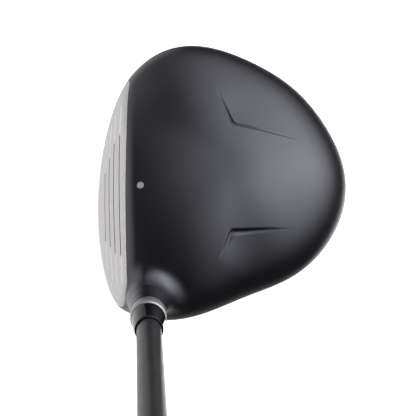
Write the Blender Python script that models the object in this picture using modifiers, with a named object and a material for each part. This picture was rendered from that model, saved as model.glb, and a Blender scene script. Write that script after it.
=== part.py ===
"""Golf driver: hollow welded head, adjustable loft sleeve, graphite shaft and rubber grip.

The club stands at address. The origin is the middle of the flat sole pad, on the ground.
+X points to the heel and the shaft, -X to the toe, -Y out of the face, +Y to the back, +Z up.
The shaft axis lies in the plane y = SHAFT_Y and leans by the lie angle towards +X.
"""
import math

import bmesh
import bpy
import numpy as np
from mathutils import Matrix, Vector

MM = 0.001

# Head: plan radii from the origin, one every 30 degrees from the heel round by the back.
OUTLINE_RADII = [51.0, 47.0, 49.5, 51.5, 50.0, 51.3, 56.7, 60.5, 57.0, 68.0, 69.5, 64.5]
SKIRT_HEIGHT = 25.5     # height of the widest line round the head
SKIRT_RISE = 3.5        # that line drops by this much at the back and rises at the front
CROWN_TOP = 60.2
CROWN_POWERS = (2.4, 2.2)
SOLE_POWERS = (2.57, 1.96)
PAD_RADIUS = 0.22       # flat sole pad, as a share of the plan radius
CROWN_WALL = 0.9
SOLE_WALL = 1.2
AROUND = 64             # points round the head
CROWN_RINGS = 9
SOLE_RINGS = 8
GAP = 0.3               # clearance between neighbouring pieces

# Face: part of a sphere, so that it bulges heel to toe and rolls crown to sole.
LOFT = 12.2
FACE_TURN = 2.0
FACE_RADIUS = 210.0
FACE_CENTRE = (10.0, -47.3, 28.0)
FACE_WALL = 2.8

# Shaft axis: distances t along it are counted from the ground.
LIE = 58.0
SHAFT_X = 25.5          # where the axis meets the ground
SHAFT_Y = -30.0
CLUB_LENGTH = 1143.0
SEGMENTS = 48           # facets round every turned piece

HOSEL_TOP = 68.0
HOSEL_R = 6.9
NECK_R = 8.2
BORE_R = 5.5
SHELF = (24.0, 27.0)    # wall that the bolt pulls against
SPLINE_TOP = 33.5
PORT_R = 4.6

COLLAR_TOP = 74.4
SLEEVE_R = 5.3
TIP_SOCKET = 44.0       # bottom of the socket that holds the shaft tip
FERRULE_TOP = 87.0
TIP_R = 4.3
EXIT_R = 4.65
BUTT_R = 7.6
SHAFT_WALL = 1.5
GRIP_LENGTH = 267.0
CAP_LENGTH = 6.0

BOLT_HEAD = (17.4, 22.4)
BOLT_TIP = 37.5
BOLT_R = 2.4
THREAD_BORE_R = 2.75

# Rear weight: its axis leaves the sole at WEIGHT_SPOT; depths u are negative inwards.
WEIGHT_SPOT = (-2.0, 33.0)
WEIGHT_R = 9.5
CUP_R = 11.2


def clear_scene():
    for item in list(bpy.data.objects):
        bpy.data.objects.remove(item, do_unlink=True)


def make_collection(name):
    group = bpy.data.collections.new(name)
    bpy.context.scene.collection.children.link(group)
    return group


def make_material(name, colour, metallic, roughness):
    material = bpy.data.materials.new(name)
    material.use_nodes = True
    shader = material.node_tree.nodes["Principled BSDF"]
    shader.inputs["Base Color"].default_value = (*colour, 1.0)
    shader.inputs["Metallic"].default_value = metallic
    shader.inputs["Roughness"].default_value = roughness
    return material


def add_mesh(name, points, faces, group, material=None):
    """A mesh object from points in millimetres, with its faces turned outwards."""
    mesh = bpy.data.meshes.new(name)
    builder = bmesh.new()
    corners = [builder.verts.new(Vector(point) * MM) for point in points]
    for face in faces:
        builder.faces.new([corners[index] for index in face])
    bmesh.ops.recalc_face_normals(builder, faces=builder.faces)
    builder.to_mesh(mesh)
    builder.free()
    thing = bpy.data.objects.new(name, mesh)
    group.objects.link(thing)
    if material:
        mesh.materials.append(material)
        mesh.shade_smooth()
        mesh.set_sharp_from_angle(angle=math.radians(35))
    else:
        as_cutter(thing)
    return thing


def as_cutter(thing):
    thing.hide_render = True
    thing.display_type = 'WIRE'


def cut(thing, cutter, operation='DIFFERENCE'):
    step = thing.modifiers.new(operation.title() + " " + cutter.name, 'BOOLEAN')
    step.operation = operation
    step.object = cutter
    step.solver = 'EXACT'


def smooth(values):
    """Close a list of evenly spaced values with a smooth periodic curve through them."""
    count = len(values)
    angles = np.arange(count) * 2 * math.pi / count

    def curve(angle):
        total = np.mean(values)
        for k in range(1, count // 2 + 1):
            share = 2 / count if 2 * k < count else 1 / count
            cosine = share * np.dot(values, np.cos(k * angles))
            sine = share * np.dot(values, np.sin(k * angles))
            total += cosine * math.cos(k * angle) + sine * math.sin(k * angle)
        return float(total)

    return curve


outline = smooth(OUTLINE_RADII)


def skirt(angle):
    return SKIRT_HEIGHT - SKIRT_RISE * math.sin(angle)


def fullness(share, powers):
    """Height of a superellipse above its edge, 1 in the middle and 0 at share = 1."""
    return max(0.0, 1 - share ** powers[0]) ** (1 / powers[1])


def crown_point(angle, share, inset=0.0):
    radius = share * (outline(angle) - inset)
    base = skirt(angle)
    height = base + (CROWN_TOP - inset - base) * fullness(share, CROWN_POWERS)
    return (radius * math.cos(angle), radius * math.sin(angle), height)


def sole_point(angle, share, inset=0.0):
    radius = share * (outline(angle) - inset)
    base = skirt(angle)
    pad_fullness = fullness(PAD_RADIUS, SOLE_POWERS)
    full = min(1.0, fullness(share, SOLE_POWERS) / pad_fullness)
    return (radius * math.cos(angle), radius * math.sin(angle), base - (base - inset) * full)


def ring_shares(count, powers, first=0.0):
    """Plan shares that space the rings evenly along the curved profile, edge included."""
    start = math.asin(first ** (powers[0] / 2))
    steps = [start + (math.pi / 2 - start) * index / count for index in range(count + 1)]
    return [math.sin(step) ** (2 / powers[0]) for step in steps]


def ring_angles():
    return [2 * math.pi * index / AROUND for index in range(AROUND)]


def strips(ring_count):
    """Faces between consecutive rings of AROUND points."""
    faces = []
    for ring in range(ring_count - 1):
        for index in range(AROUND):
            following = (index + 1) % AROUND
            low, high = ring * AROUND, (ring + 1) * AROUND
            faces.append((low + index, low + following, high + following, high + index))
    return faces


def crown_rings(inset=0.0, lift=0.0):
    shares = ring_shares(CROWN_RINGS, CROWN_POWERS)[1:]
    points = [crown_point(angle, share, inset) for share in shares for angle in ring_angles()]
    return [(x, y, z + lift) for x, y, z in points]


def sole_rings(inset=0.0, drop=0.0):
    shares = ring_shares(SOLE_RINGS, SOLE_POWERS, PAD_RADIUS)
    points = [sole_point(angle, share, inset) for share in shares for angle in ring_angles()]
    return [(x, y, max(z - drop, inset)) for x, y, z in points]


def head_solid(name, inset, group):
    """Closed solid of the whole head before the face is cut, shrunk by inset."""
    crown = crown_rings(inset)
    sole = sole_rings(inset)[:-AROUND]
    sole_layers = [sole[start:start + AROUND] for start in range(0, len(sole), AROUND)]
    points = crown + [point for layer in reversed(sole_layers) for point in layer]
    faces = strips(len(points) // AROUND)
    points.append((0, 0, CROWN_TOP - inset))
    top = len(points) - 1
    faces += [(index, (index + 1) % AROUND, top) for index in range(AROUND)]
    faces.append(tuple(range(top - AROUND, top)))
    return add_mesh(name, points, faces, group)


def face_ball(name, radius, group):
    """The sphere that the face is part of, or a smaller one with the same centre."""
    loft, turn = math.radians(LOFT), math.radians(FACE_TURN)
    outward = Vector((math.sin(turn) * math.cos(loft), -math.cos(turn) * math.cos(loft),
                      math.sin(loft)))
    centre = (Vector(FACE_CENTRE) - outward * FACE_RADIUS) * MM
    bpy.ops.mesh.primitive_uv_sphere_add(segments=128, ring_count=64, radius=radius * MM,
                                         location=centre)
    ball = bpy.context.object
    ball.name = name
    move_to(ball, group)
    as_cutter(ball)
    return ball


def move_to(thing, group):
    for owner in list(thing.users_collection):
        owner.objects.unlink(thing)
    group.objects.link(thing)


def turned(name, profile, group, parent, material=None):
    """Turn a profile of (radius, height) points, which runs down its outer side, round Z.

    A profile that neither starts nor ends on the axis is closed into a ring.
    """
    mesh = bpy.data.meshes.new(name)
    edges = [(index, index + 1) for index in range(len(profile) - 1)]
    if profile[0][0] > 0 and profile[-1][0] > 0:
        edges.append((len(profile) - 1, 0))
    mesh.from_pydata([(r * MM, 0, z * MM) for r, z in profile], edges, [])
    thing = bpy.data.objects.new(name, mesh)
    group.objects.link(thing)
    thing.parent = parent
    screw = thing.modifiers.new("Turn", 'SCREW')
    screw.steps = SEGMENTS
    screw.render_steps = SEGMENTS
    screw.use_merge_vertices = True
    screw.merge_threshold = 0.00001
    if material:
        mesh.materials.append(material)
        screw.use_smooth_shade = False
    else:
        as_cutter(thing)
    return thing


def star(name, lobes, outer, inner, low, high, group, parent):
    """Prism whose corners alternate between two radii: a Torx recess or a spline."""
    count = 2 * lobes
    points, faces = [], []
    for height in (low, high):
        for index in range(count):
            angle = 2 * math.pi * index / count
            radius = outer if index % 2 == 0 else inner
            points.append((radius * math.cos(angle), radius * math.sin(angle), height))
    for index in range(count):
        following = (index + 1) % count
        faces.append((index, following, count + following, count + index))
    faces += [tuple(range(count)), tuple(range(count, 2 * count))]
    thing = add_mesh(name, points, faces, group)
    thing.parent = parent
    return thing


def make_axis(name, origin, direction, group):
    """Empty whose Z axis runs along direction, its X axis kept in the XZ plane."""
    axis = Vector(direction).normalized()
    across = Vector((0, 1, 0)).cross(axis).normalized()
    rows = Matrix((across, axis.cross(across), axis)).transposed().to_4x4()
    empty = bpy.data.objects.new(name, None)
    empty.matrix_world = Matrix.Translation(Vector(origin) * MM) @ rows
    group.objects.link(empty)
    return empty


def shaft_radius(t):
    """Outer radius of the shaft: parallel tip, short step-up under the ferrule, long taper."""
    knots = [TIP_SOCKET, 72.0, 85.0, CLUB_LENGTH]
    return float(np.interp(t, knots, [TIP_R, TIP_R, EXIT_R, BUTT_R]))


def hosel_profile(extra):
    """Outside of the hosel from its top down to below the sole, made larger by extra."""
    steps = [(HOSEL_R, HOSEL_TOP), (HOSEL_R + 0.1, 60), (HOSEL_R + 0.6, 54), (NECK_R, 50),
             (NECK_R, 45.5), (HOSEL_R, 43.5), (HOSEL_R, -8)]
    return [(radius + extra, t) for radius, t in steps]


def make_head(parts, tools, axis):
    """Crown, sole, face and hosel: the four pieces that are welded into one hollow head."""
    black = make_material("satin black paint", (0.02, 0.02, 0.023), 0.0, 0.42)
    under = make_material("cast titanium", (0.03, 0.03, 0.033), 0.2, 0.45)
    silver = make_material("brushed titanium", (0.55, 0.53, 0.51), 1.0, 0.35)

    outer = head_solid("head_outer", 0.0, tools)
    front = face_ball("face_front", FACE_RADIUS, tools)
    back = face_ball("face_back", FACE_RADIUS - FACE_WALL, tools)
    behind = face_ball("behind_face", FACE_RADIUS - FACE_WALL - GAP, tools)
    clearance = hosel_profile(GAP)
    clearance[0] = (clearance[0][0], HOSEL_TOP + 5)
    around_hosel = turned("around_hosel", [(0, clearance[0][1])] + clearance + [(0, -8)],
                          tools, axis)

    top = crown_rings(lift=GAP / 2)
    top.append((0, 0, CROWN_TOP + GAP / 2))
    peak = len(top) - 1
    faces = strips(CROWN_RINGS) + [(index, (index + 1) % AROUND, peak) for index in range(AROUND)]
    crown = add_mesh("crown_shell", top, faces, parts, black)
    add_wall(crown, CROWN_WALL)
    cut(crown, behind, 'INTERSECT')
    cut(crown, around_hosel)

    bottom = sole_rings(drop=GAP / 2)
    faces = strips(SOLE_RINGS + 1) + [tuple(range(AROUND))]
    sole = add_mesh("sole_shell", bottom, faces, parts, under)
    add_wall(sole, SOLE_WALL)
    ribs = make_ribs(parts, tools)
    cut(sole, ribs, 'UNION')
    cut(sole, behind, 'INTERSECT')
    cut(sole, around_hosel)

    face = head_solid("face_insert", 0.0, parts)
    face.hide_render = False
    face.display_type = 'TEXTURED'
    face.data.materials.append(silver)
    cut(face, front, 'INTERSECT')
    cut(face, back)
    cut(face, around_hosel)

    shelf_low, shelf_high = SHELF
    inside = [(PORT_R, -8), (PORT_R, shelf_low), (2.75, shelf_low), (2.75, 25.0), (3.6, 25.0),
              (3.6, 26.2), (2.75, 26.2), (2.75, shelf_high), (4.85, shelf_high),
              (4.85, SPLINE_TOP), (BORE_R, SPLINE_TOP), (BORE_R, HOSEL_TOP)]
    hosel = turned("hosel_tube", hosel_profile(0) + inside, parts, axis, black)
    grooves = star("hosel_splines", 12, BORE_R - 0.05, 4.9, shelf_high + 0.2, SPLINE_TOP + 0.5,
                   tools, axis)
    cut(hosel, grooves)
    below_sole = turned("below_sole", [(0, 30), (12, 30), (12, -12), (0, -12)], tools, axis)
    cut(below_sole, outer)
    cut(hosel, below_sole)
    return sole


def add_wall(thing, wall):
    """Thicken an open surface inwards; its faces are turned to point out of the head first."""
    middle = Vector((0, 0, SKIRT_HEIGHT * MM))
    first = thing.data.polygons[0]
    if first.normal.dot(first.center - middle) < 0:
        thing.data.flip_normals()
    shell = thing.modifiers.new("Wall", 'SOLIDIFY')
    shell.thickness = wall * MM
    shell.offset = -1.0
    shell.use_even_offset = True


def add_box(name, low, high, group):
    corners = [(x, y, z) for z in (low[2], high[2]) for y in (low[1], high[1])
               for x in (low[0], high[0])]
    faces = [(0, 1, 3, 2), (4, 5, 7, 6), (0, 1, 5, 4), (2, 3, 7, 6), (0, 2, 6, 4), (1, 3, 7, 5)]
    return add_mesh(name, corners, faces, group)


def make_ribs(parts, tools):
    """Two stiffening ribs inside the sole, which become part of the sole casting."""
    space = head_solid("rib_space", SOLE_WALL / 2, tools)
    ribs = add_box("rib_across", (-60, 13, -1), (60, 14.4, 8), tools)
    along = add_box("rib_along", (-22.7, -60, -1), (-21.3, 60, 8), tools)
    cut(ribs, along, 'UNION')
    cut(ribs, space, 'INTERSECT')
    return ribs


def make_hosel_bolt(parts, tools, axis):
    """Torx bolt, its washer and the ring that keeps it in the head when it is undone."""
    steel = make_material("bolt steel", (0.35, 0.35, 0.36), 1.0, 0.3)
    nylon = make_material("nylon", (0.75, 0.75, 0.7), 0.0, 0.5)
    head_low, head_high = BOLT_HEAD
    bolt = turned("hosel_bolt",
                  [(0, BOLT_TIP), (BOLT_R - 0.5, BOLT_TIP), (BOLT_R, BOLT_TIP - 0.6),
                   (BOLT_R, head_high), (4.0, head_high), (4.0, head_low + 0.5),
                   (3.6, head_low), (0, head_low)], parts, axis, steel)
    cut(bolt, star("bolt_torx", 6, 2.2, 1.6, head_low - 1, head_low + 2.6, tools, axis))
    washer_low = head_high + GAP
    washer_high = SHELF[0] - GAP
    turned("bolt_washer", [(4.2, washer_high), (4.2, washer_low), (2.8, washer_low),
                           (2.8, washer_high)], parts, axis, steel)
    turned("bolt_retainer", [(3.4, 26.0), (3.4, 25.25), (2.58, 25.25), (2.58, 26.0)],
           parts, axis, nylon)


def make_shaft_assembly(parts, tools, axis):
    """Loft sleeve, ferrule, shaft with its tip plug, tape and grip, all bonded together."""
    alloy = make_material("brushed aluminium", (0.6, 0.6, 0.6), 1.0, 0.3)
    gloss = make_material("gloss black plastic", (0.01, 0.01, 0.012), 0.0, 0.12)
    graphite = make_material("painted graphite", (0.05, 0.052, 0.056), 0.1, 0.4)
    brass = make_material("brass", (0.7, 0.5, 0.2), 1.0, 0.35)
    tape = make_material("grip tape", (0.7, 0.68, 0.6), 0.0, 0.9)
    rubber = make_material("grip rubber", (0.025, 0.025, 0.025), 0.0, 0.8)

    collar_low = HOSEL_TOP + GAP
    foot = SHELF[1] + GAP
    sleeve = turned("loft_sleeve",
                    [(6.5, COLLAR_TOP), (HOSEL_R, COLLAR_TOP - 0.3), (HOSEL_R, collar_low),
                     (SLEEVE_R, collar_low), (SLEEVE_R, foot), (THREAD_BORE_R, foot),
                     (THREAD_BORE_R, TIP_SOCKET - 2), (4.5, TIP_SOCKET - 2),
                     (4.5, COLLAR_TOP)], parts, axis, alloy)
    trim = turned("spline_trim", [(0, SPLINE_TOP + GAP), (8, SPLINE_TOP + GAP), (8, foot - 1),
                                  (0, foot - 1)], tools, axis)
    cut(trim, star("sleeve_splines", 12, SLEEVE_R - 0.02, 4.65, foot - 2, SPLINE_TOP + 1, tools, axis))
    cut(sleeve, trim)

    turned("ferrule",
           [(5.2, FERRULE_TOP), (5.4, FERRULE_TOP - 0.4), (5.9, 82.2), (6.3, 78.2),
            (6.55, COLLAR_TOP + GAP), (5.0, COLLAR_TOP + GAP), (5.0, FERRULE_TOP)],
           parts, axis, gloss)

    butt = CLUB_LENGTH - CAP_LENGTH
    outside = [(shaft_radius(t), t) for t in (butt - GAP, 85.0, 72.0, TIP_SOCKET)]
    inside = [(radius - SHAFT_WALL, t) for radius, t in reversed(outside)]
    turned("shaft", outside + inside, parts, axis, graphite)
    turned("tip_plug", [(0, 54.0), (2.55, 54.0), (2.55, TIP_SOCKET + 0.2), (0, TIP_SOCKET + 0.2)],
           parts, axis, brass)

    mouth = CLUB_LENGTH - GRIP_LENGTH
    tape_ends = (butt - GAP, mouth + 2)
    tape_out = [(shaft_radius(t) + 0.5, t) for t in tape_ends]
    tape_in = [(shaft_radius(t) + 0.2, t) for t in reversed(tape_ends)]
    turned("grip_tape", tape_out + tape_in, parts, axis, tape)
    grip_ends = (butt - GAP, mouth)
    bore = [(shaft_radius(t) + 0.75, t) for t in reversed(grip_ends)]
    turned("grip",
           [(13.3, butt - GAP), (13.2, butt - 20), (12.0, butt - 80), (10.6, butt - 150),
            (9.3, mouth + 25), (8.9, mouth + 2), (8.5, mouth)] + bore, parts, axis, rubber)
    turned("grip_cap",
           [(13.0, CLUB_LENGTH), (14.2, CLUB_LENGTH - 1.2), (14.4, CLUB_LENGTH - 3.5),
            (13.9, butt), (1.2, butt), (1.2, CLUB_LENGTH)], parts, axis, rubber)


def weight_axis_place():
    """Point of the sole at the weight's middle and the sole's outward direction there."""
    x, y = WEIGHT_SPOT
    angle, share = math.atan2(y, x), math.hypot(x, y) / outline(math.atan2(y, x))
    here = Vector(sole_point(angle, share))
    further = Vector(sole_point(angle, share + 0.02))
    beside = Vector(sole_point(angle + 0.02, share))
    outward = (beside - here).cross(further - here).normalized()
    if outward.z > 0:
        outward.negate()
    return here, outward


def make_rear_weight(parts, tools, sole):
    """Welded cup in the sole with a removable weight, its rubber gasket and its screw."""
    place, outward = weight_axis_place()
    axis = make_axis("weight_axis", place, outward, tools)
    titanium = make_material("weight cup", (0.2, 0.2, 0.2), 0.8, 0.45)
    steel = make_material("weight steel", (0.5, 0.5, 0.5), 1.0, 0.25)
    rubber = make_material("gasket rubber", (0.03, 0.03, 0.03), 0.0, 0.7)

    around_cup = turned("around_cup", [(0, 8), (CUP_R + GAP, 8), (CUP_R + GAP, -20), (0, -20)],
                        tools, axis)
    cut(sole, around_cup)
    cup = turned("weight_port",
                 [(CUP_R, 6), (CUP_R, -8.2), (4.2, -8.2), (4.2, -13), (2.65, -13), (2.65, -6.8),
                  (CUP_R - 1.4, -6.8), (CUP_R - 1.4, 6)], parts, axis, titanium)
    cut(cup, head_solid("head_outer_for_cup", 0.0, tools), 'INTERSECT')
    turned("rear_weight",
           [(WEIGHT_R - 0.4, -1.6), (WEIGHT_R, -2.0), (WEIGHT_R, -5.6), (2.9, -5.6), (2.9, -4.6),
            (4.35, -4.6), (4.35, -1.6)], parts, axis, steel)
    turned("weight_gasket", [(9.2, -5.9), (9.2, -6.5), (3.2, -6.5), (3.2, -5.9)],
           parts, axis, rubber)
    screw = turned("weight_screw",
                   [(0, -1.8), (3.6, -1.8), (4.0, -2.2), (4.0, -4.3), (BOLT_R, -4.3),
                    (BOLT_R, -11.9), (BOLT_R - 0.5, -12.5), (0, -12.5)], parts, axis, steel)
    cut(screw, star("weight_torx", 6, 2.2, 1.6, -3.8, 0, tools, axis))


def make_hot_melt(parts):
    """Pad of hot melt on the sole's inside, which trims the balance and catches loose bits."""
    amber = make_material("hot melt", (0.7, 0.55, 0.25), 0.0, 0.5)
    bpy.ops.mesh.primitive_uv_sphere_add(segments=20, ring_count=8, radius=1.0 * MM)
    pad = bpy.context.object
    pad.name = "hot_melt_pad"
    move_to(pad, parts)
    pad.data.transform(Matrix.Translation(Vector((-6, -8, 4.6)) * MM)
                       @ Matrix.Diagonal((9.0, 7.0, 1.7, 1.0)))
    pad.data.materials.append(amber)


def main():
    clear_scene()
    parts = make_collection("golf_driver")
    tools = make_collection("cutters")
    lean = math.radians(LIE)
    axis = make_axis("shaft_axis", (SHAFT_X, SHAFT_Y, 0), (math.cos(lean), 0, math.sin(lean)), tools)
    sole = make_head(parts, tools, axis)
    make_rear_weight(parts, tools, sole)
    make_hot_melt(parts)
    make_hosel_bolt(parts, tools, axis)
    make_shaft_assembly(parts, tools, axis)


main()
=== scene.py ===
"""Looks of the golf driver: fine painted head, grooved face, turned hosel parts, grip, studio."""

import math

import bmesh
import bpy
import numpy as np
from mathutils import Matrix, Vector


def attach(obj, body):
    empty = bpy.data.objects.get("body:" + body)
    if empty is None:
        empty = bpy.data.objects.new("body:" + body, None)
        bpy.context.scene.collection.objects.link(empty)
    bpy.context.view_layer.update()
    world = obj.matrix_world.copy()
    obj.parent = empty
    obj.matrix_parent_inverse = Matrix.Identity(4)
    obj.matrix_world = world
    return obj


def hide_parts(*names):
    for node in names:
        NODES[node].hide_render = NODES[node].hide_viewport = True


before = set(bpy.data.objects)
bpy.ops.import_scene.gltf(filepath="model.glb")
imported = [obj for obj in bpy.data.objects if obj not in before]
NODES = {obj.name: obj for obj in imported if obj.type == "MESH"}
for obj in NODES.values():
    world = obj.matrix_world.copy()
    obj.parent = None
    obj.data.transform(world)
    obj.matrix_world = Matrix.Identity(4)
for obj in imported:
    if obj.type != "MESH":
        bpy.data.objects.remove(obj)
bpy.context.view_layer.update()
MM = 0.001

# Head, in millimetres: the same numbers as in the CAD source.
OUTLINE_RADII = [51.0, 47.0, 49.5, 51.5, 50.0, 51.3, 56.7, 60.5, 57.0, 68.0, 69.5, 64.5]
SKIRT_HEIGHT, SKIRT_RISE, CROWN_TOP = 25.5, 3.5, 60.2
CROWN_POWERS, SOLE_POWERS, PAD_RADIUS = (2.4, 2.2), (2.57, 1.96), 0.22
LOFT, FACE_TURN, FACE_RADIUS = math.radians(12.2), math.radians(2.0), 210.0
FACE_CENTRE = np.array([10.0, -47.3, 28.0])
FACE_NORMAL = np.array([math.sin(FACE_TURN) * math.cos(LOFT),
                        -math.cos(FACE_TURN) * math.cos(LOFT), math.sin(LOFT)])
BALL_CENTRE = FACE_CENTRE - FACE_RADIUS * FACE_NORMAL
INSET = 0.08            # keeps the smooth skin inside the faceted CAD box
LIP = 3.2               # rounding between the face and the crown
EYE = np.array([0.0, 0.0, 28.0])    # inner point that sees the whole skin
CROWN_WALL, FACE_WALL = 1.5, 4.5    # from the closed form and the face's ball to the hollow
TUBE_CLEAR_R = 9.6                  # the hollow ends this far from the shaft axis

# Shaft axis: distances t along it are counted from the ground.
LIE = math.radians(58.0)
AXIS_FOOT = np.array([25.5, -30.0, 0.0])
AXIS = np.array([math.cos(LIE), 0.0, math.sin(LIE)])
SIDE = np.array([0.0, 1.0, 0.0])
FRONT = np.cross(AXIS, SIDE)
HOSEL_TOP, HOSEL_R, BORE_R = 68.0, 6.9, 5.5
# Radius of the hosel by height along its axis, slim and flared.
NECK_HEIGHTS = [24, 40, 46, 52, 58, 64, 72]
NECK_SLIM = [6.9, 7.85, 8.2, 8.0, 7.3, 6.95, 6.9]
NECK_WIDE = [20, 17, 14, 10.8, 8.2, 6.95, 6.9]
NECK_FOOT, ABOVE_HOSEL = 26, 3      # the neck's field starts here, and ends this far above the hosel
HOSEL_FILLET, BACK_FILLET = 3, 2    # blend of hosel and body, and what it gains towards the back
COLLAR_TOP, SLEEVE_R, FERRULE_TOP, CLUB_LENGTH = 74.4, 5.3, 87.0, 1143.0
SHELF = (24, 27)        # wall that the bolt pulls against
BOLT_HOLE_R, PORT_R = 2.75, 4.6
SPLINE_TOP, SLEEVE_SPLINE_TOP = 33.55, 33.81    # hosel and sleeve have teeth below these heights
SPLINES, SPLINE_HEIGHT, SPLINE_SINK = 12, 0.5, 0.32
TIP_SOCKET, TIP_R = 44.0, 4.3       # bottom of the socket that holds the shaft tip, and its radius
SHAFT_WALL = 1.5
GRIP_START, GRIP_END, BUTT = 876.0, 1136.7, 1137.0
GRIP_PATTERN = (884, 1126)          # the grip's grooves fade in from here and out to here

# Rear weight: its axis leaves the sole here, and points out of it.
WEIGHT_PLACE = np.array([-2.0, 33.0, 3.7676])
WEIGHT_OUT = np.array([-0.042236, 0.3329225, -0.9420078])
CUP_R, CUP_DEPTH = 11.35, 10

# Creases of the crown: corner, ends of its two arms in plan, depth, width of the step. The corner
# is rounded, and a groove runs along the foot of the step, as deep as this share of its depth.
CREASES = [((-14.2, 1.6), (-32.5, -4.9), (-9.2, 32.0), 1.0, 1.2),
           ((26.9, 1.0), (39.5, -3.3), (24.5, 28.0), 0.85, 1.9)]
CREASE_ROUND, CREASE_GROOVE = 1.4, 0.28


# ---------------------------------------------------------------- shape fields

def harmonics(values):
    """Fourier terms of a smooth closed curve through evenly spaced values."""
    count = len(values)
    angles = np.arange(count) * 2 * math.pi / count
    found = [np.mean(values)]
    for k in range(1, count // 2 + 1):
        share = 2 / count if 2 * k < count else 1 / count
        found.append(share * np.dot(values, np.exp(1j * k * angles)))
    return found


def ramp(x):
    """Smooth step from 0 at 0 to 1 at 1."""
    x = np.clip(x, 0, 1)
    return x * x * (3 - 2 * x)


OUTLINE = harmonics(OUTLINE_RADII)
SOLE_FULL = (1 - PAD_RADIUS ** SOLE_POWERS[0]) ** (1 / SOLE_POWERS[1])


def dome_level(p):
    """Below 0 inside the closed form of crown and sole, 0 on it."""
    x, y, z = p.T
    r = np.maximum(np.hypot(x, y), 1e-6)
    turn = (x + 1j * y) / r
    radius = np.full(len(x), OUTLINE[0])
    power = np.ones_like(turn)
    for k in range(1, len(OUTLINE)):
        power = power * turn
        radius += (np.conj(OUTLINE[k]) * power).real
    base = SKIRT_HEIGHT - SKIRT_RISE * y / r
    up = z > base
    h = np.where(up, (z - base) / (CROWN_TOP - base), SOLE_FULL * (base - z) / base)
    n = SOLE_POWERS[0] + (CROWN_POWERS[0] - SOLE_POWERS[0]) * ramp((z - base) / 8 + 0.5)
    m = np.where(up, CROWN_POWERS[1], SOLE_POWERS[1])
    return (r / radius) ** n + np.abs(h) ** m - 1


def gradient(field, p, step=0.02):
    """(value of a field, its slope along x, y and z)."""
    here = field(p)
    return here, np.stack([(field(p + step * axis) - here) / step for axis in np.eye(3)], 1)


def dome(p):
    """Distance to the closed form, in millimetres, below 0 inside."""
    level, slope = gradient(dome_level, p)
    length = np.maximum(np.linalg.norm(slope, axis=1), 0.012)
    return np.maximum(level / length, -p[:, 2]) + INSET


def ball(p):
    """Distance to the sphere that the face is part of."""
    return np.linalg.norm(p - BALL_CENTRE, axis=1) - FACE_RADIUS


def blend(a, b, width):
    """Larger of two distances, with the edge between them rounded off."""
    h = np.maximum(width - np.abs(a - b), 0) / width
    return np.maximum(a, b) + h * h * width / 4


def body(p):
    return blend(dome(p), ball(p), LIP)


def on_axis(p):
    """(height along the shaft axis, distance from it)."""
    away = p - AXIS_FOOT
    t = away @ AXIS
    return t, np.linalg.norm(away - t[:, None] * AXIS, axis=1)


def neck(p):
    """Hosel tube, with a root that flares towards the crown and stays slim at face and heel."""
    t, r = on_axis(p)
    away = (p - AXIS_FOOT) / np.maximum(r, 0.1)[:, None]
    flared = ramp((away[:, 1] + 0.9) / 0.8) * ramp((away @ FRONT + 0.9) / 0.8)
    slim, wide = (np.interp(t, NECK_HEIGHTS, row) for row in (NECK_SLIM, NECK_WIDE))
    width = slim + (wide - slim) * flared
    return np.maximum(np.maximum(r - width, t - HOSEL_TOP - ABOVE_HOSEL), NECK_FOOT - t)


def crease_depth(p):
    """How far the crown steps down beyond its two bent creases."""
    total = np.zeros(len(p))
    for corner, end_a, end_b, depth, wall in CREASES:
        corner = np.array(corner)
        arms = [np.array(end) - corner for end in (end_a, end_b)]
        lengths = [np.hypot(*arm) for arm in arms]
        away = p[:, :2] - corner
        sides = []
        for arm, other, length in zip(arms, arms[::-1], lengths):
            normal = np.array([-arm[1], arm[0]]) / length
            sides.append(away @ (normal * np.sign(normal @ other)))
        inside = -blend(-sides[0], -sides[1], CREASE_ROUND)
        turn = np.arctan2(np.maximum(sides[0], 0), np.maximum(sides[1], 0) + 1e-9)
        reach = lengths[0] + (lengths[1] - lengths[0]) * ramp(turn / (math.pi / 2))
        fade = 1 - ramp(np.hypot(*away.T) / reach)
        share = inside / (wall * (0.4 + 0.6 * fade))
        groove = np.maximum(1 - ((share - 0.9) / 0.9) ** 2, 0) ** 2
        total += fade * (depth * ramp(share) + CREASE_GROOVE * depth * groove) * ramp(p[:, 2] / 5 - 6)
    return total


def skin(p):
    """Outside of the head before its creases: body and hosel with a flared root."""
    backward = (p[:, 1] - AXIS_FOOT[1]) / np.maximum(on_axis(p)[1], 0.1)
    width = HOSEL_FILLET + BACK_FILLET * ramp((backward + 0.95) / 0.9)
    return -blend(-body(p), -neck(p), width)


def unit_slope(field, p):
    """Outward normals of a field."""
    slope = gradient(field, p)[1]
    return slope / np.linalg.norm(slope, axis=1)[:, None]


def pressed(p):
    """Points of the skin, moved in by the depth of the creases."""
    return p - crease_depth(p)[:, None] * unit_slope(skin, p)


def pressed_normals(p):
    """(distance of pressed points from the pressed skin, its normals there)."""
    plain = p
    for _ in range(16):
        plain = p + crease_depth(plain)[:, None] * unit_slope(skin, plain)
    normal = unit_slope(skin, plain)
    lean = gradient(crease_depth, plain, 0.05)[1]
    lean -= (lean * normal).sum(1)[:, None] * normal
    normal = normal + lean
    return skin(plain), normal / np.linalg.norm(normal, axis=1)[:, None]


def cavity(p):
    """Hollow of the head, clear of the hosel tube."""
    wall = np.maximum(dome(p) + CROWN_WALL, ball(p) + FACE_WALL)
    return np.maximum(wall, TUBE_CLEAR_R - on_axis(p)[1])


def settle(field, p, rounds=4):
    """Move points onto field = 0."""
    for _ in range(rounds):
        value, slope = gradient(field, p)
        p = p - (value / np.maximum((slope ** 2).sum(1), 1e-3))[:, None] * slope
    return p


# ---------------------------------------------------------------- meshes

RELAX_ROUNDS = 2
SHARP_ANGLE = math.radians(35)


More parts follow.
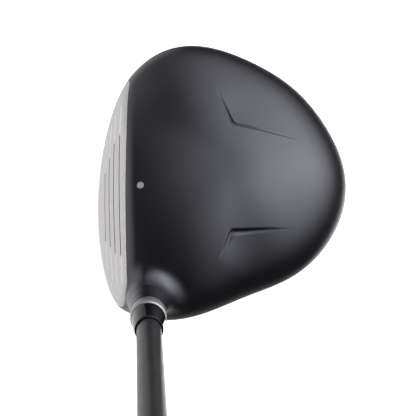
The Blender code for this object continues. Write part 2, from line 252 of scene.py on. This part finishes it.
def surface_net(field, low, high, step):
    """Closed quad mesh of field = 0: one corner per grid cell that the surface crosses."""
    axes = [np.arange(a, b + step, step) for a, b in zip(low, high)]
    grid = np.stack(np.meshgrid(*axes, indexing="ij"), -1)
    value = np.concatenate([field(part.reshape(-1, 3)) for part in grid]).reshape(grid.shape[:3])
    cells = [n - 1 for n in value.shape]
    total, count = np.zeros((*cells, 3)), np.zeros(cells)
    crossings = []
    for ax in range(3):
        u, v = (ax + 1) % 3, (ax + 2) % 3
        low_end, high_end = [slice(None)] * 3, [slice(None)] * 3
        low_end[ax], high_end[ax] = slice(0, -1), slice(1, None)
        a, b = value[tuple(low_end)], value[tuple(high_end)]
        crossed = (a < 0) != (b < 0)
        share = np.where(crossed, a / np.where(crossed, a - b, 1), 0)
        point = grid[tuple(low_end)] + share[..., None] * step * np.eye(3)[ax]
        for du in (0, 1):
            for dv in (0, 1):
                part = [slice(None)] * 3
                part[u], part[v] = slice(du, du + cells[u]), slice(dv, dv + cells[v])
                part = tuple(part)
                total += np.where(crossed[part][..., None], point[part], 0)
                count += crossed[part]
        crossings.append((ax, u, v, crossed, a < 0))
    active = count > 0
    number = np.full(cells, -1)
    number[active] = np.arange(active.sum())
    points = total[active] / count[active][:, None]
    quads = []
    for ax, u, v, crossed, outward in crossings:
        place = np.argwhere(crossed)
        around = []
        for du, dv in ((1, 1), (0, 1), (0, 0), (1, 0)):
            cell = place.copy()
            cell[:, u] -= du
            cell[:, v] -= dv
            around.append(number[tuple(cell.T)])
        quad = np.stack(around, 1)
        flip = ~outward[crossed]
        quad[flip] = quad[flip][:, ::-1]
        quads.append(quad)
    quads = np.concatenate(quads)
    points = settle(field, points)
    for _ in range(RELAX_ROUNDS):
        mean, number_of = np.zeros_like(points), np.zeros(len(points))
        for k in range(4):
            np.add.at(mean, quads[:, k], points[quads[:, (k + 1) % 4]])
            np.add.at(mean, quads[:, k], points[quads[:, (k + 3) % 4]])
            np.add.at(number_of, quads[:, k], 2)
        points = settle(field, 0.5 * points + 0.5 * mean / number_of[:, None], 2)
    return points, quads


def make_object(name, points, faces, materials=()):
    mesh = bpy.data.meshes.new(name)
    mesh.from_pydata((np.asarray(points) * MM).tolist(), [], [list(map(int, f)) for f in faces])
    mesh.validate()
    thing = bpy.data.objects.new(name, mesh)
    bpy.context.scene.collection.objects.link(thing)
    for material in materials:
        mesh.materials.append(material)
    return thing


def turn_outwards(thing):
    """Make every face of a closed mesh look outwards."""
    builder = bmesh.new()
    builder.from_mesh(thing.data)
    bmesh.ops.recalc_face_normals(builder, faces=builder.faces)
    builder.to_mesh(thing.data)
    builder.free()


def carve(thing, *cutters):
    """Cut closed meshes out of a closed mesh."""
    for cutter in cutters:
        step = thing.modifiers.new("Cut", 'BOOLEAN')
        step.object, step.operation, step.solver = cutter, 'DIFFERENCE', 'EXACT'
        step.material_mode = 'TRANSFER'
    state = thing.evaluated_get(bpy.context.evaluated_depsgraph_get())
    mesh = bpy.data.meshes.new_from_object(state)
    thing.modifiers.clear()
    thing.data = mesh
    for cutter in cutters:
        bpy.data.objects.remove(cutter, do_unlink=True)


def rows_of_quads(count, around, closed=False):
    """Faces between count rings of points, which are joined into a loop if closed."""
    faces = []
    for i in range(count if closed else count - 1):
        low, high = i * around, ((i + 1) % count) * around
        for j in range(around):
            k = (j + 1) % around
            faces.append((low + j, low + k, high + k, high + j))
    return faces


def turned(name, profile, materials=(), around=96, centre=AXIS_FOOT, axis=AXIS, ripple=None):
    """Closed mesh turned round an axis from (radius, height) points; radius 0 ends it in a cap."""
    first = np.cross((0.0, 1.0, 0.0), axis)
    first /= np.linalg.norm(first)
    second = np.cross(axis, first)
    theta = np.arange(around) * 2 * math.pi / around
    capped = profile[0][0] == 0
    rings = profile[1:-1] if capped else profile
    points = []
    for r, t in rings:
        radius = r + (ripple(r, t, theta) if ripple else 0 * theta)
        points.append(centre + t * axis + radius[:, None]
                      * (np.cos(theta)[:, None] * first + np.sin(theta)[:, None] * second))
    points = np.concatenate(points)
    faces = rows_of_quads(len(rings), around, closed=not capped)
    if capped:
        ends = [centre + profile[0][1] * axis, centre + profile[-1][1] * axis]
        top, bottom = len(points), len(points) + 1
        points = np.concatenate([points, ends])
        last = (len(rings) - 1) * around
        for j in range(around):
            k = (j + 1) % around
            faces += [(top, k, j), (bottom, last + j, last + k)]
    thing = make_object(name, points, faces, materials)
    turn_outwards(thing)
    return thing


def disc_slab(name, upper, lower, around, rings, materials=()):
    """Closed slab between two sheets, each a middle point with rings of points round it."""
    size = len(upper)
    faces = []
    for start, flip in ((0, False), (size, True)):
        part = [(start, start + 1 + j, start + 1 + (j + 1) % around) for j in range(around)]
        part += [tuple(start + 1 + i for i in quad) for quad in rows_of_quads(rings, around)]
        faces += [face[::-1] if flip else face for face in part]
    rim = 1 + (rings - 1) * around
    for j in range(around):
        k = (j + 1) % around
        faces.append((rim + j, rim + k, size + rim + k, size + rim + j))
    thing = make_object(name, np.concatenate([upper, lower]), faces, materials)
    turn_outwards(thing)
    return thing


def soften(thing):
    """Smooth shading, with sharp edges kept."""
    thing.data.shade_smooth()
    thing.data.set_sharp_from_angle(angle=SHARP_ANGLE)


def polish(thing, normals_at):
    """Give the corners that lie on a smooth skin its exact normals."""
    mesh = thing.data
    mesh.shade_smooth()
    co = np.array([v.co for v in mesh.vertices], float) / MM
    value, slope = normals_at(co)
    close = np.abs(value) < 0.03
    normals = []
    for face in mesh.polygons:
        corners = list(face.vertices)
        if close[corners].all() and slope[corners].mean(0) @ np.array(face.normal) > 0.7:
            normals += slope[corners].tolist()
        else:
            normals += [tuple(face.normal)] * len(corners)
    mesh.normals_split_custom_set(normals)


# ---------------------------------------------------------------- materials

def link(tree, source, output, target, socket):
    """Join an output of one node to an input of another."""
    tree.links.new(source.outputs[output], target.inputs[socket])


def pattern(tree, scale, tilt=0.0, detail=3.0):
    """Noise over the object's own coordinates; scale is per metre along x, y, z."""
    place = tree.nodes.new('ShaderNodeTexCoord')
    turn = tree.nodes.new('ShaderNodeMapping')
    turn.inputs["Rotation"].default_value = (0, tilt, 0)
    stretch = tree.nodes.new('ShaderNodeMapping')
    stretch.inputs["Scale"].default_value = scale
    noise = tree.nodes.new('ShaderNodeTexNoise')
    noise.inputs["Scale"].default_value = 1.0
    noise.inputs["Detail"].default_value = detail
    link(tree, place, "Object", turn, "Vector")
    link(tree, turn, "Vector", stretch, "Vector")
    link(tree, stretch, "Vector", noise, "Vector")
    return noise


def spread(tree, source, low, high, start=0.35, end=0.65, output=0):
    """Output of a node, spread from start..end to low..high."""
    node = tree.nodes.new('ShaderNodeMapRange')
    for name, value in (("From Min", start), ("From Max", end), ("To Min", low), ("To Max", high)):
        node.inputs[name].default_value = value
    link(tree, source, output, node, "Value")
    return node


def surface(name, dark, light, rough, metallic=0.0, scale=(900, 900, 900), tilt=0.0,
            grain=(5000, 5000, 5000), bump=0.01, fixed=()):
    """Material whose colour and roughness drift with one noise, with a finer grain as bump."""
    material = bpy.data.materials.new(name)
    material.use_nodes = True
    tree = material.node_tree
    shader = tree.nodes["Principled BSDF"]
    shader.inputs["Metallic"].default_value = metallic
    for socket, value in fixed:
        shader.inputs[socket].default_value = value
    drift = pattern(tree, scale, tilt)
    mix = tree.nodes.new('ShaderNodeMix')
    mix.data_type = 'RGBA'
    mix.inputs["A"].default_value = (*dark, 1)
    mix.inputs["B"].default_value = (*light, 1)
    link(tree, spread(tree, drift, 0, 1), "Result", mix, "Factor")
    link(tree, mix, "Result", shader, "Base Color")
    link(tree, spread(tree, drift, *rough), "Result", shader, "Roughness")
    fine = pattern(tree, grain, tilt, detail=2.0)
    relief = tree.nodes.new('ShaderNodeBump')
    relief.inputs["Strength"].default_value = 1.0
    relief.inputs["Distance"].default_value = bump * MM
    link(tree, fine, 0, relief, "Height")
    link(tree, relief, "Normal", shader, "Normal")
    return material


ALONG = LIE - math.pi / 2       # turns the shaft axis onto Z for a texture
PAINT = surface("satin_black_paint", (0.001, 0.001, 0.0013), (0.0022, 0.0022, 0.0028), (0.30, 0.35),
                scale=(2600, 2600, 2600), grain=(4200, 4200, 4200), bump=0.03,
                fixed=(("Specular IOR Level", 1.0), ("Specular Tint", (0.85, 0.87, 1.0, 1.0))))
TITANIUM = surface("brushed_titanium", (0.52, 0.505, 0.50), (0.70, 0.68, 0.675), (0.34, 0.46), 1.0,
                   scale=(220, 2200, 2200), grain=(400, 6000, 6000), bump=0.012)
GROOVE_DARK = surface("groove_dark", (0.02, 0.02, 0.02), (0.05, 0.05, 0.05), (0.5, 0.7))
GROOVE_PALE = surface("groove_pale", (0.84, 0.89, 0.92), (0.90, 0.95, 0.98), (0.5, 0.6))
DOT_PAINT = surface("dot_paint", (0.245, 0.255, 0.26), (0.295, 0.305, 0.31), (0.4, 0.5))
ALLOY = surface("turned_aluminium", (0.34, 0.34, 0.345), (0.42, 0.42, 0.425), (0.38, 0.5), 0.9,
                scale=(120, 120, 5000), tilt=ALONG, grain=(200, 200, 9000), bump=0.004)
GLOSS = surface("gloss_black", (0.002, 0.002, 0.0025), (0.004, 0.004, 0.005), (0.07, 0.13),
                scale=(500, 500, 500), grain=(1500, 1500, 1500), bump=0.0006)
GRAPHITE = surface("painted_graphite", (0.012, 0.0123, 0.0135), (0.018, 0.0186, 0.02), (0.34, 0.4),
                   scale=(900, 900, 120), tilt=ALONG, grain=(2500, 2500, 2500), bump=0.0008)
RUBBER = surface("grip_rubber", (0.012, 0.012, 0.012), (0.024, 0.024, 0.025), (0.62, 0.8),
                 grain=(3500, 3500, 3500), bump=0.03)
CAP = surface("cap_rubber", (0.014, 0.014, 0.015), (0.022, 0.022, 0.023), (0.5, 0.62),
              grain=(3000, 3000, 3000), bump=0.02)
STEEL = surface("blasted_steel", (0.42, 0.42, 0.43), (0.58, 0.58, 0.59), (0.26, 0.4), 1.0,
                scale=(1400, 1400, 1400), grain=(6000, 6000, 6000), bump=0.006)
BLACK_STEEL = surface("black_steel", (0.10, 0.10, 0.105), (0.17, 0.17, 0.175), (0.28, 0.42), 1.0,
                      scale=(1400, 1400, 1400), grain=(6000, 6000, 6000), bump=0.006)
PORT = surface("port_titanium", (0.07, 0.07, 0.075), (0.12, 0.12, 0.125), (0.4, 0.55), 0.8,
               scale=(1400, 1400, 1400), grain=(5000, 5000, 5000), bump=0.01)
NYLON = surface("retainer_nylon", (0.62, 0.60, 0.55), (0.74, 0.72, 0.67), (0.45, 0.6))
GASKET = surface("gasket_rubber", (0.015, 0.015, 0.015), (0.03, 0.03, 0.03), (0.65, 0.8), bump=0.02)
MELT = surface("hot_melt", (0.62, 0.50, 0.28), (0.74, 0.62, 0.38), (0.35, 0.55), bump=0.05)
BRASS = surface("tip_brass", (0.62, 0.43, 0.16), (0.78, 0.57, 0.25), (0.28, 0.42), 1.0)
TAPE = surface("grip_tape", (0.60, 0.56, 0.45), (0.72, 0.68, 0.57), (0.8, 0.95), bump=0.05)

for node, material in (("weight_port", PORT), ("rear_weight", STEEL), ("weight_gasket", GASKET),
                       ("weight_screw", BLACK_STEEL), ("hot_melt_pad", MELT),
                       ("hosel_bolt", BLACK_STEEL), ("bolt_washer", STEEL),
                       ("bolt_retainer", NYLON), ("tip_plug", BRASS), ("grip_tape", TAPE),
                       ("crown_shell", PAINT), ("sole_shell", PAINT), ("hosel_tube", PAINT),
                       ("face_insert", TITANIUM), ("loft_sleeve", ALLOY), ("ferrule", GLOSS),
                       ("shaft", GRAPHITE), ("grip", RUBBER), ("grip_cap", CAP)):
    NODES[node].material_slots[0].material = material


# ---------------------------------------------------------------- head

# How far behind the face's ball its paint line runs, by x: it wraps round the toe and the heel.
PAINT_LINE = ([-50, -38, -33, -26, -16, -5, 10, 34, 42, 47, 51.5, 54],
              [2.4, 1.8, 1.4, 1.1, 0.8, 0.5, 0.38, 0.38, 0.5, 0.8, 1.0, 1.9])


def rays(alpha, phi):
    """Directions from EYE at angle alpha from the middle of the face, turned by phi round it."""
    ahead = FACE_CENTRE - EYE
    ahead = ahead / np.linalg.norm(ahead)
    right = np.cross(ahead, (0.0, 0.0, 1.0))
    above = np.cross(right, ahead)
    sine = np.sin(alpha)[:, None]
    return (np.cos(alpha)[:, None] * ahead
            + sine * (np.cos(phi)[:, None] * right + np.sin(phi)[:, None] * above))


def reach_body(direction):
    """Where rays from EYE leave the body."""
    near, far = np.zeros(len(direction)), np.full(len(direction), 110.0)
    for _ in range(26):
        middle = (near + far) / 2
        inside = body(EYE + middle[:, None] * direction) < 0
        near, far = np.where(inside, middle, near), np.where(inside, far, middle)
    return EYE + near[:, None] * direction


def face_edge(phi, margin):
    """Angle alpha at which the bare face gives way to paint, less a margin."""
    near, far = np.zeros(len(phi)), np.full(len(phi), 1.5)
    for _ in range(20):
        middle = (near + far) / 2
        p = reach_body(rays(middle, phi))
        inside = ball(p) + margin > -np.interp(p[:, 0], *PAINT_LINE)
        near, far = np.where(inside, middle, near), np.where(inside, far, middle)
    return near


FACE_AROUND, FACE_RINGS = 300, 36


def face_slab(name, margin, top, bottom, materials=()):
    """Slab that follows the face, from bottom to top measured outwards from the skin."""
    phi = np.arange(FACE_AROUND) * 2 * math.pi / FACE_AROUND
    edge = face_edge(phi, margin)
    shares = np.linspace(0, 1, FACE_RINGS + 1)[1:]
    sheet = np.concatenate([reach_body(rays(edge * s, phi)) for s in shares])
    middle = reach_body(rays(np.zeros(1), np.zeros(1)))
    base = np.concatenate([middle, sheet])
    slope = unit_slope(body, base)
    return disc_slab(name, base + top * slope, base + bottom * slope, FACE_AROUND, FACE_RINGS,
                     materials)


def spline_teeth(theta):
    """Triangular teeth of sleeve and hosel, as changes of a radius."""
    share = (theta * SPLINES / (2 * math.pi)) % 1
    return SPLINE_HEIGHT * (np.abs(share - 0.5) * 2 - 0.5) - SPLINE_SINK


def hosel_splines(r, t, theta):
    return spline_teeth(theta) if r == BORE_R and t < SPLINE_TOP else 0 * theta


# Grids for the head's skin and its hollow: lowest corner, highest corner, step.
SKIN_GRID = ((-62, -54, -3), (72, 56, 66), 0.85)
HOLLOW_GRID = ((-60, -48, 0), (56, 54, 62), 2.2)
STEEP = 0.12                        # slope of a crease above which the skin gets a finer mesh
PLATE_GAP, PLATE_DEPTH, POCKET_DEPTH = 0.08, 1.25, 1.4
CUT_ABOVE = 5.0                     # how far the pocket's cutter stands out of the skin


def fine_at_creases(thing):
    """Divide the faces at the creases, then press the creases into the mesh."""
    builder = bmesh.new()
    builder.from_mesh(thing.data)
    centres = np.array([f.calc_center_median() for f in builder.faces]) / MM
    steep = np.zeros(len(centres), bool)
    for dx in (-1.0, 0.0, 1.0):
        for dy in (-1.0, 0.0, 1.0):
            lean = gradient(crease_depth, centres + (dx, dy, 0), 0.05)[1]
            steep |= np.linalg.norm(lean[:, :2], axis=1) > STEEP
    builder.faces.ensure_lookup_table()
    edges = {edge for i in np.nonzero(steep)[0] for edge in builder.faces[i].edges}
    bmesh.ops.subdivide_edges(builder, edges=list(edges), cuts=3, use_grid_fill=True)
    co = pressed(settle(skin, np.array([v.co for v in builder.verts]) / MM, 3)) * MM
    for vertex, place in zip(builder.verts, co):
        vertex.co = place
    builder.to_mesh(thing.data)
    builder.free()


def with_hollow(thing):
    """The same object with the hollow of the head inside it."""
    points, quads = surface_net(cavity, *HOLLOW_GRID)
    outer = [tuple(face.vertices) for face in thing.data.polygons]
    joined = np.concatenate([np.array([v.co for v in thing.data.vertices]) / MM, points])
    faces = outer + [tuple(quad[::-1] + len(thing.data.vertices)) for quad in quads]
    bpy.data.objects.remove(thing, do_unlink=True)
    return make_object("painted_head", joined, faces, [PAINT])


def make_head():
    points, quads = surface_net(skin, *SKIN_GRID)
    thing = make_object("painted_head", points, quads, [PAINT])
    fine_at_creases(thing)
    thing = with_hollow(thing)
    pocket = face_slab("pocket", 0.0, CUT_ABOVE, -POCKET_DEPTH, [PAINT])
    low, high = SHELF
    bore = turned("bore", [(0, 80), (12, 80), (12, HOSEL_TOP), (BORE_R, HOSEL_TOP), (BORE_R, 33.6),
                           (BORE_R, 33.5), (BORE_R, high), (BOLT_HOLE_R, high),
                           (BOLT_HOLE_R, low), (PORT_R, low), (PORT_R, -12), (0, -12)],
                  [PAINT], around=144, ripple=hosel_splines)
    cup = turned("cup", [(0, CUP_DEPTH), (CUP_R, CUP_DEPTH), (CUP_R, -20), (0, -20)], [PAINT],
                 around=128, centre=WEIGHT_PLACE, axis=WEIGHT_OUT)
    carve(thing, pocket, bore, cup)
    polish(thing, pressed_normals)
    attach(thing, "head")
    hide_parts("crown_shell", "sole_shell", "hosel_tube")


# Score lines, lowest first: height at the middle, ends and ends of the dark middle part, in x.
SCORE_LINES = [(27.0, -18.9, -4.1, 24.5, 35.8), (34.5, -23.6, -8.1, 28.7, 41.1),
               (41.2, -26.0, -12.6, 32.6, 44.4), (48.4, -27.7, -13.9, 35.2, 46.2)]
SCORE_MIDDLE, SCORE_ARCH, SCORE_LEAN = 9.0, 0.0056, 0.03
SCORE_HALF, SCORE_DEPTH, SCORE_PAINTED = 0.4, 0.28, 0.06


def score_cutter(index, height, start, dark_start, dark_end, end):
    """Bar along one score line, with pale ends and a dark middle."""
    xs = np.unique(np.concatenate([np.linspace(start, dark_start, 14),
                                   np.linspace(dark_start, dark_end, 60),
                                   np.linspace(dark_end, end, 14)]))
    u = xs - SCORE_MIDDLE
    z = height - SCORE_ARCH * u * u - SCORE_LEAN * u
    offset = BALL_CENTRE[1] - np.sqrt(FACE_RADIUS ** 2 - (xs - BALL_CENTRE[0]) ** 2
                                      - (z - BALL_CENTRE[2]) ** 2)
    line = np.stack([xs, offset, z], 1)
    outward = (line - BALL_CENTRE) / FACE_RADIUS
    along = np.gradient(line, axis=0)
    across = np.cross(outward, along)
    across /= np.linalg.norm(across, axis=1)[:, None]
    depth = np.where((xs < dark_start) | (xs > dark_end), SCORE_PAINTED, SCORE_DEPTH)[:, None]
    section = [(-1, 0.6, 0), (1, 0.6, 0), (1, -0.02, 0), (0.6, 0, 1), (-0.6, 0, 1), (-1, -0.02, 0)]
    size = len(section)
    points = np.stack([line + SCORE_HALF * a * across + (b - c * depth) * outward
                       for a, b, c in section], 1).reshape(-1, 3)
    faces = rows_of_quads(len(xs), size)
    faces += [tuple(range(size)), tuple(range((len(xs) - 1) * size, len(xs) * size))]
    thing = make_object(f"score_{index}", points, faces, [GROOVE_DARK, GROOVE_PALE])
    middle = (xs[:-1] + xs[1:]) / 2
    for i, x in enumerate(middle):
        if not dark_start < x < dark_end:
            for face in thing.data.polygons[i * size:(i + 1) * size]:
                face.material_index = 1
    for face in thing.data.polygons[-2:]:
        face.material_index = 1
    turn_outwards(thing)
    return thing


def make_face():
    plate = face_slab("face_plate", -PLATE_GAP, 0.0, -PLATE_DEPTH, [TITANIUM])
    carve(plate, *[score_cutter(i, *line) for i, line in enumerate(SCORE_LINES)])
    polish(plate, lambda p: (body(p), unit_slope(body, p)))
    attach(plate, "head")
    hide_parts("face_insert")


DOT_CENTRE, DOT_R = (10.4, -33.6), 1.35
DOT_START = 57.5                    # height from which its points settle onto the crown
DOT_ABOVE, DOT_BELOW = 0.03, 0.2


def make_dot():
    """Alignment dot: a thin disc of paint that follows the crown."""
    around, rings = 48, 5
    theta = np.arange(around) * 2 * math.pi / around
    flat = [(0.0, 0.0)] + [(DOT_R * k / rings * math.cos(a), DOT_R * k / rings * math.sin(a))
                           for k in range(1, rings + 1) for a in theta]
    base = np.array([(DOT_CENTRE[0] + x, DOT_CENTRE[1] + y, DOT_START) for x, y in flat])
    for _ in range(12):
        base[:, 2] -= skin(base)
    dot = disc_slab("alignment_dot", base + (0, 0, DOT_ABOVE), base - (0, 0, DOT_BELOW),
                    around, rings, [DOT_PAINT])
    soften(dot)
    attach(dot, "head")


# ---------------------------------------------------------------- shaft assembly

def shaft_radius(t):
    return np.interp(t, [TIP_SOCKET, 72.0, 85.0, CLUB_LENGTH], [TIP_R, TIP_R, 4.65, 7.6])


def sleeve_splines(r, t, theta):
    return spline_teeth(theta) if r == SLEEVE_R and t < SLEEVE_SPLINE_TOP else 0 * theta


GROOVES, GROOVE_TWIST = 22, 1.3     # grooves round the grip each way, and radians of phase per mm
GROOVE_DEPTH, END_FADE = 0.38, 6


def grip_relief(r, t, theta):
    """Crossed shallow grooves, faded out towards both ends and absent inside."""
    if r < shaft_radius(t) + 0.9:
        return 0 * theta
    low, high = GRIP_PATTERN
    fade = ramp(np.array((t - low) / END_FADE)) * ramp(np.array((high - t) / END_FADE))
    groove = np.maximum(np.cos(GROOVES * theta + t * GROOVE_TWIST),
                        np.cos(GROOVES * theta - t * GROOVE_TWIST))
    return -GROOVE_DEPTH * fade * ramp((groove - 0.72) / 0.2)


def make_collar():
    """Loft sleeve: the collar over the hosel, and the splined tube that the shaft tip sits in."""
    return turned("loft_collar", [
        (6.35, COLLAR_TOP), (6.62, COLLAR_TOP - 0.06), (6.82, COLLAR_TOP - 0.25), (HOSEL_R, 74.0),
        (HOSEL_R, 68.6), (6.8, 68.35), (6.6, 68.3), (SLEEVE_R, 68.3), (SLEEVE_R, 33.85),
        (SLEEVE_R, 33.8), (SLEEVE_R, 27.3), (BOLT_HOLE_R, 27.3), (BOLT_HOLE_R, 42.0), (4.5, 42.0),
        (4.5, COLLAR_TOP)], [ALLOY], around=144, ripple=sleeve_splines)


def make_ferrule():
    outer = [(5.05, FERRULE_TOP), (5.25, 86.95), (5.38, 86.75), (5.45, 86.3)]
    outer += [(float(np.interp(t, [74.7, 78.2, 82.2, 86.3], [6.55, 6.3, 5.9, 5.45])), float(t))
              for t in np.linspace(85.5, 75.3, 14)]
    outer += [(6.52, 74.95), (6.4, 74.72), (5.0, 74.7), (5.0, FERRULE_TOP)]
    return turned("tapered_ferrule", outer, [GLOSS], around=128)


def make_shaft():
    heights = np.concatenate([np.linspace(GRIP_END, 90, 60), np.linspace(85, 72, 6), [TIP_SOCKET]])
    outer = [(float(shaft_radius(t)), float(t)) for t in heights]
    inner = [(r - SHAFT_WALL, t) for r, t in outer[::-8]]
    return turned("tapered_shaft", outer + inner, [GRAPHITE], around=96)


def make_grip():
    heights = np.linspace(GRIP_END, GRIP_START, 330)
    radii = np.interp(heights, [GRIP_START, 878, 901, 987, 1057, 1117, GRIP_END],
                      [8.5, 8.9, 9.3, 10.6, 12.0, 13.2, 13.3])
    outer = [(float(r), float(t)) for r, t in zip(radii, heights)]
    bore = [(float(shaft_radius(t)) + 0.75, t) for t in (GRIP_START, GRIP_END)]
    return turned("textured_grip", outer + bore, [RUBBER], around=220, ripple=grip_relief)


def make_cap():
    return turned("butt_cap", [
        (12.4, CLUB_LENGTH), (13.1, 1142.9), (13.8, 1142.4), (14.2, 1141.7), (14.4, 1140.6),
        (14.4, 1139.4), (14.2, 1138.2), (13.9, BUTT), (1.2, BUTT), (1.2, 1142.2), (2.2, 1142.2),
        (2.6, 1142.5), (9.4, 1142.5), (9.9, 1142.2), (10.5, 1142.2), (11.0, 1142.9)],
        [CAP], around=128)


def make_shaft_assembly():
    for make, node, slot in ((make_collar, "loft_sleeve", "sleeve_aluminium"),
                             (make_ferrule, "ferrule", "ferrule_plastic"),
                             (make_shaft, "shaft", "shaft_graphite"),
                             (make_grip, "grip", "grip_rubber"),
                             (make_cap, "grip_cap", "cap_rubber")):
        thing = make()
        soften(thing)
        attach(thing, "shaft_assembly")
        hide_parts(node)


# ---------------------------------------------------------------- studio

FLOOR_SIZE, WALL_SIZE = 6.0, 5.9    # metres from the middle
FLOOR_GLOW, WALL_GLOW = 0.88, 1.0

# Room light, and the soft pale areas round the club: level, turn about Z in degrees, and fades.
# A fade is an axis, and the parts of a direction along it where the area is full and where it ends.
ROOM_LIGHT = 0.03
CARDS = [(3.55, -23, [("Y", 0.42, -0.04), ("X", 0.1, 1.25), ("X", -0.05, -1.05), ("Z", 0.3, -0.35)]),
         (0.3, 0, [("X", -0.95, -0.5), ("Z", 0.0, -0.4)]),
         (1.1, 0, [("Y", -0.95, -0.52), ("Z", -0.2, -0.4)]),
         (0.92, 0, [("Y", -0.16, -0.02), ("Z", -0.6, -0.1), ("X", 0.15, 0.85), ("X", -0.45, -1.1)]),
         (2.6, 0, [("Y", 0.15, -0.05), ("Z", -0.9, -0.75), ("X", -0.2, 0.05)]),
         (0.35, 0, [("Z", -0.985, -0.9)])]

CAMERA_PLACE = (0.2058, -0.0418, 0.6901)
CAMERA_BACK = (0.28234, -0.05234, 0.95788)
CAMERA_UP = (-0.95931, -0.01541, 0.28192)
FOCAL_LENGTH, SENSOR_WIDTH = 147.1, 36.0


def glowing(name, grey, rough, specular, glow):
    """Matt material with a white glow of its own."""
    material = bpy.data.materials.new(name)
    material.use_nodes = True
    shader = material.node_tree.nodes["Principled BSDF"]
    shader.inputs["Base Color"].default_value = (grey, grey, grey, 1)
    shader.inputs["Roughness"].default_value = rough
    shader.inputs["Specular IOR Level"].default_value = specular
    shader.inputs["Emission Color"].default_value = (1, 1, 1, 1)
    shader.inputs["Emission Strength"].default_value = glow
    return material


def keep_out_of_reflections(thing):
    """Leave a piece of the surroundings in sight, without reflection or shadow."""
    thing.visible_glossy = False
    thing.visible_shadow = False


def make_floor():
    size = FLOOR_SIZE / MM
    points = [(-size, -size, 0), (size, -size, 0), (size, size, 0), (-size, size, 0)]
    floor = make_object("floor", points, [(0, 1, 2, 3)],
                        [glowing("pale_floor", 0.82, 0.9, 0.0, FLOOR_GLOW)])
    keep_out_of_reflections(floor)


def make_backdrop():
    """Pale round wall and ceiling, far outside the club."""
    around, rings, size = 48, 12, WALL_SIZE / MM
    theta = np.arange(around) * 2 * math.pi / around
    rows = [np.stack([size * math.cos(a) * np.cos(theta), size * math.cos(a) * np.sin(theta),
                      np.full(around, size * math.sin(a))], 1)
            for a in np.linspace(-0.02, math.pi / 2 - 0.05, rings)]
    faces = [face[::-1] for face in rows_of_quads(rings, around)]
    faces.append(tuple(range((rings - 1) * around, rings * around)))
    wall = make_object("backdrop", np.concatenate(rows), faces,
                       [glowing("pale_wall", 0.1, 1.0, 0.5, WALL_GLOW)])
    wall.data.shade_smooth()
    keep_out_of_reflections(wall)
    wall.visible_diffuse = False


def combined(tree, operation, first, second):
    """First outputs of two nodes, added or multiplied."""
    node = tree.nodes.new('ShaderNodeMath')
    node.operation = operation
    link(tree, first, 0, node, 0)
    link(tree, second, 0, node, 1)
    return node


def make_world():
    """Dim room with soft pale areas, each at its level where none of its fades has set in."""
    world = bpy.data.worlds.new("studio")
    world.use_nodes = True
    tree = world.node_tree
    place = tree.nodes.new('ShaderNodeTexCoord')
    total = tree.nodes.new('ShaderNodeValue')
    total.outputs[0].default_value = ROOM_LIGHT
    for level, turn, fades in CARDS:
        turned_place = tree.nodes.new('ShaderNodeMapping')
        turned_place.inputs["Rotation"].default_value = (0, 0, math.radians(turn))
        link(tree, place, "Generated", turned_place, "Vector")
        split = tree.nodes.new('ShaderNodeSeparateXYZ')
        link(tree, turned_place, "Vector", split, "Vector")
        card = tree.nodes.new('ShaderNodeValue')
        card.outputs[0].default_value = level
        for axis_name, full, gone in fades:
            side = spread(tree, split, 1, 0, full, gone, output=axis_name)
            card = combined(tree, 'MULTIPLY', card, side)
        total = combined(tree, 'ADD', total, card)
    tree.nodes["Background"].inputs["Color"].default_value = (1, 1, 1, 1)
    link(tree, total, 0, tree.nodes["Background"], "Strength")
    bpy.context.scene.world = world


def make_studio():
    make_floor()
    make_backdrop()
    make_world()
    bpy.context.scene.view_settings.view_transform = 'Standard'


def make_camera():
    """View from above the head, with the shaft coming towards the camera."""
    back = Vector(CAMERA_BACK).normalized()
    right = Vector(CAMERA_UP).cross(back).normalized()
    up = back.cross(right)
    camera = bpy.data.cameras.new("camera")
    camera.lens, camera.sensor_width = FOCAL_LENGTH, SENSOR_WIDTH
    camera.clip_start, camera.clip_end = 0.01, 20
    holder = bpy.data.objects.new("camera", camera)
    bpy.context.scene.collection.objects.link(holder)
    rotation = Matrix((right, up, back)).transposed().to_4x4()
    holder.matrix_world = Matrix.Translation(CAMERA_PLACE) @ rotation
    bpy.context.scene.camera = holder


make_head()
make_face()
make_dot()
make_shaft_assembly()
make_studio()
make_camera()

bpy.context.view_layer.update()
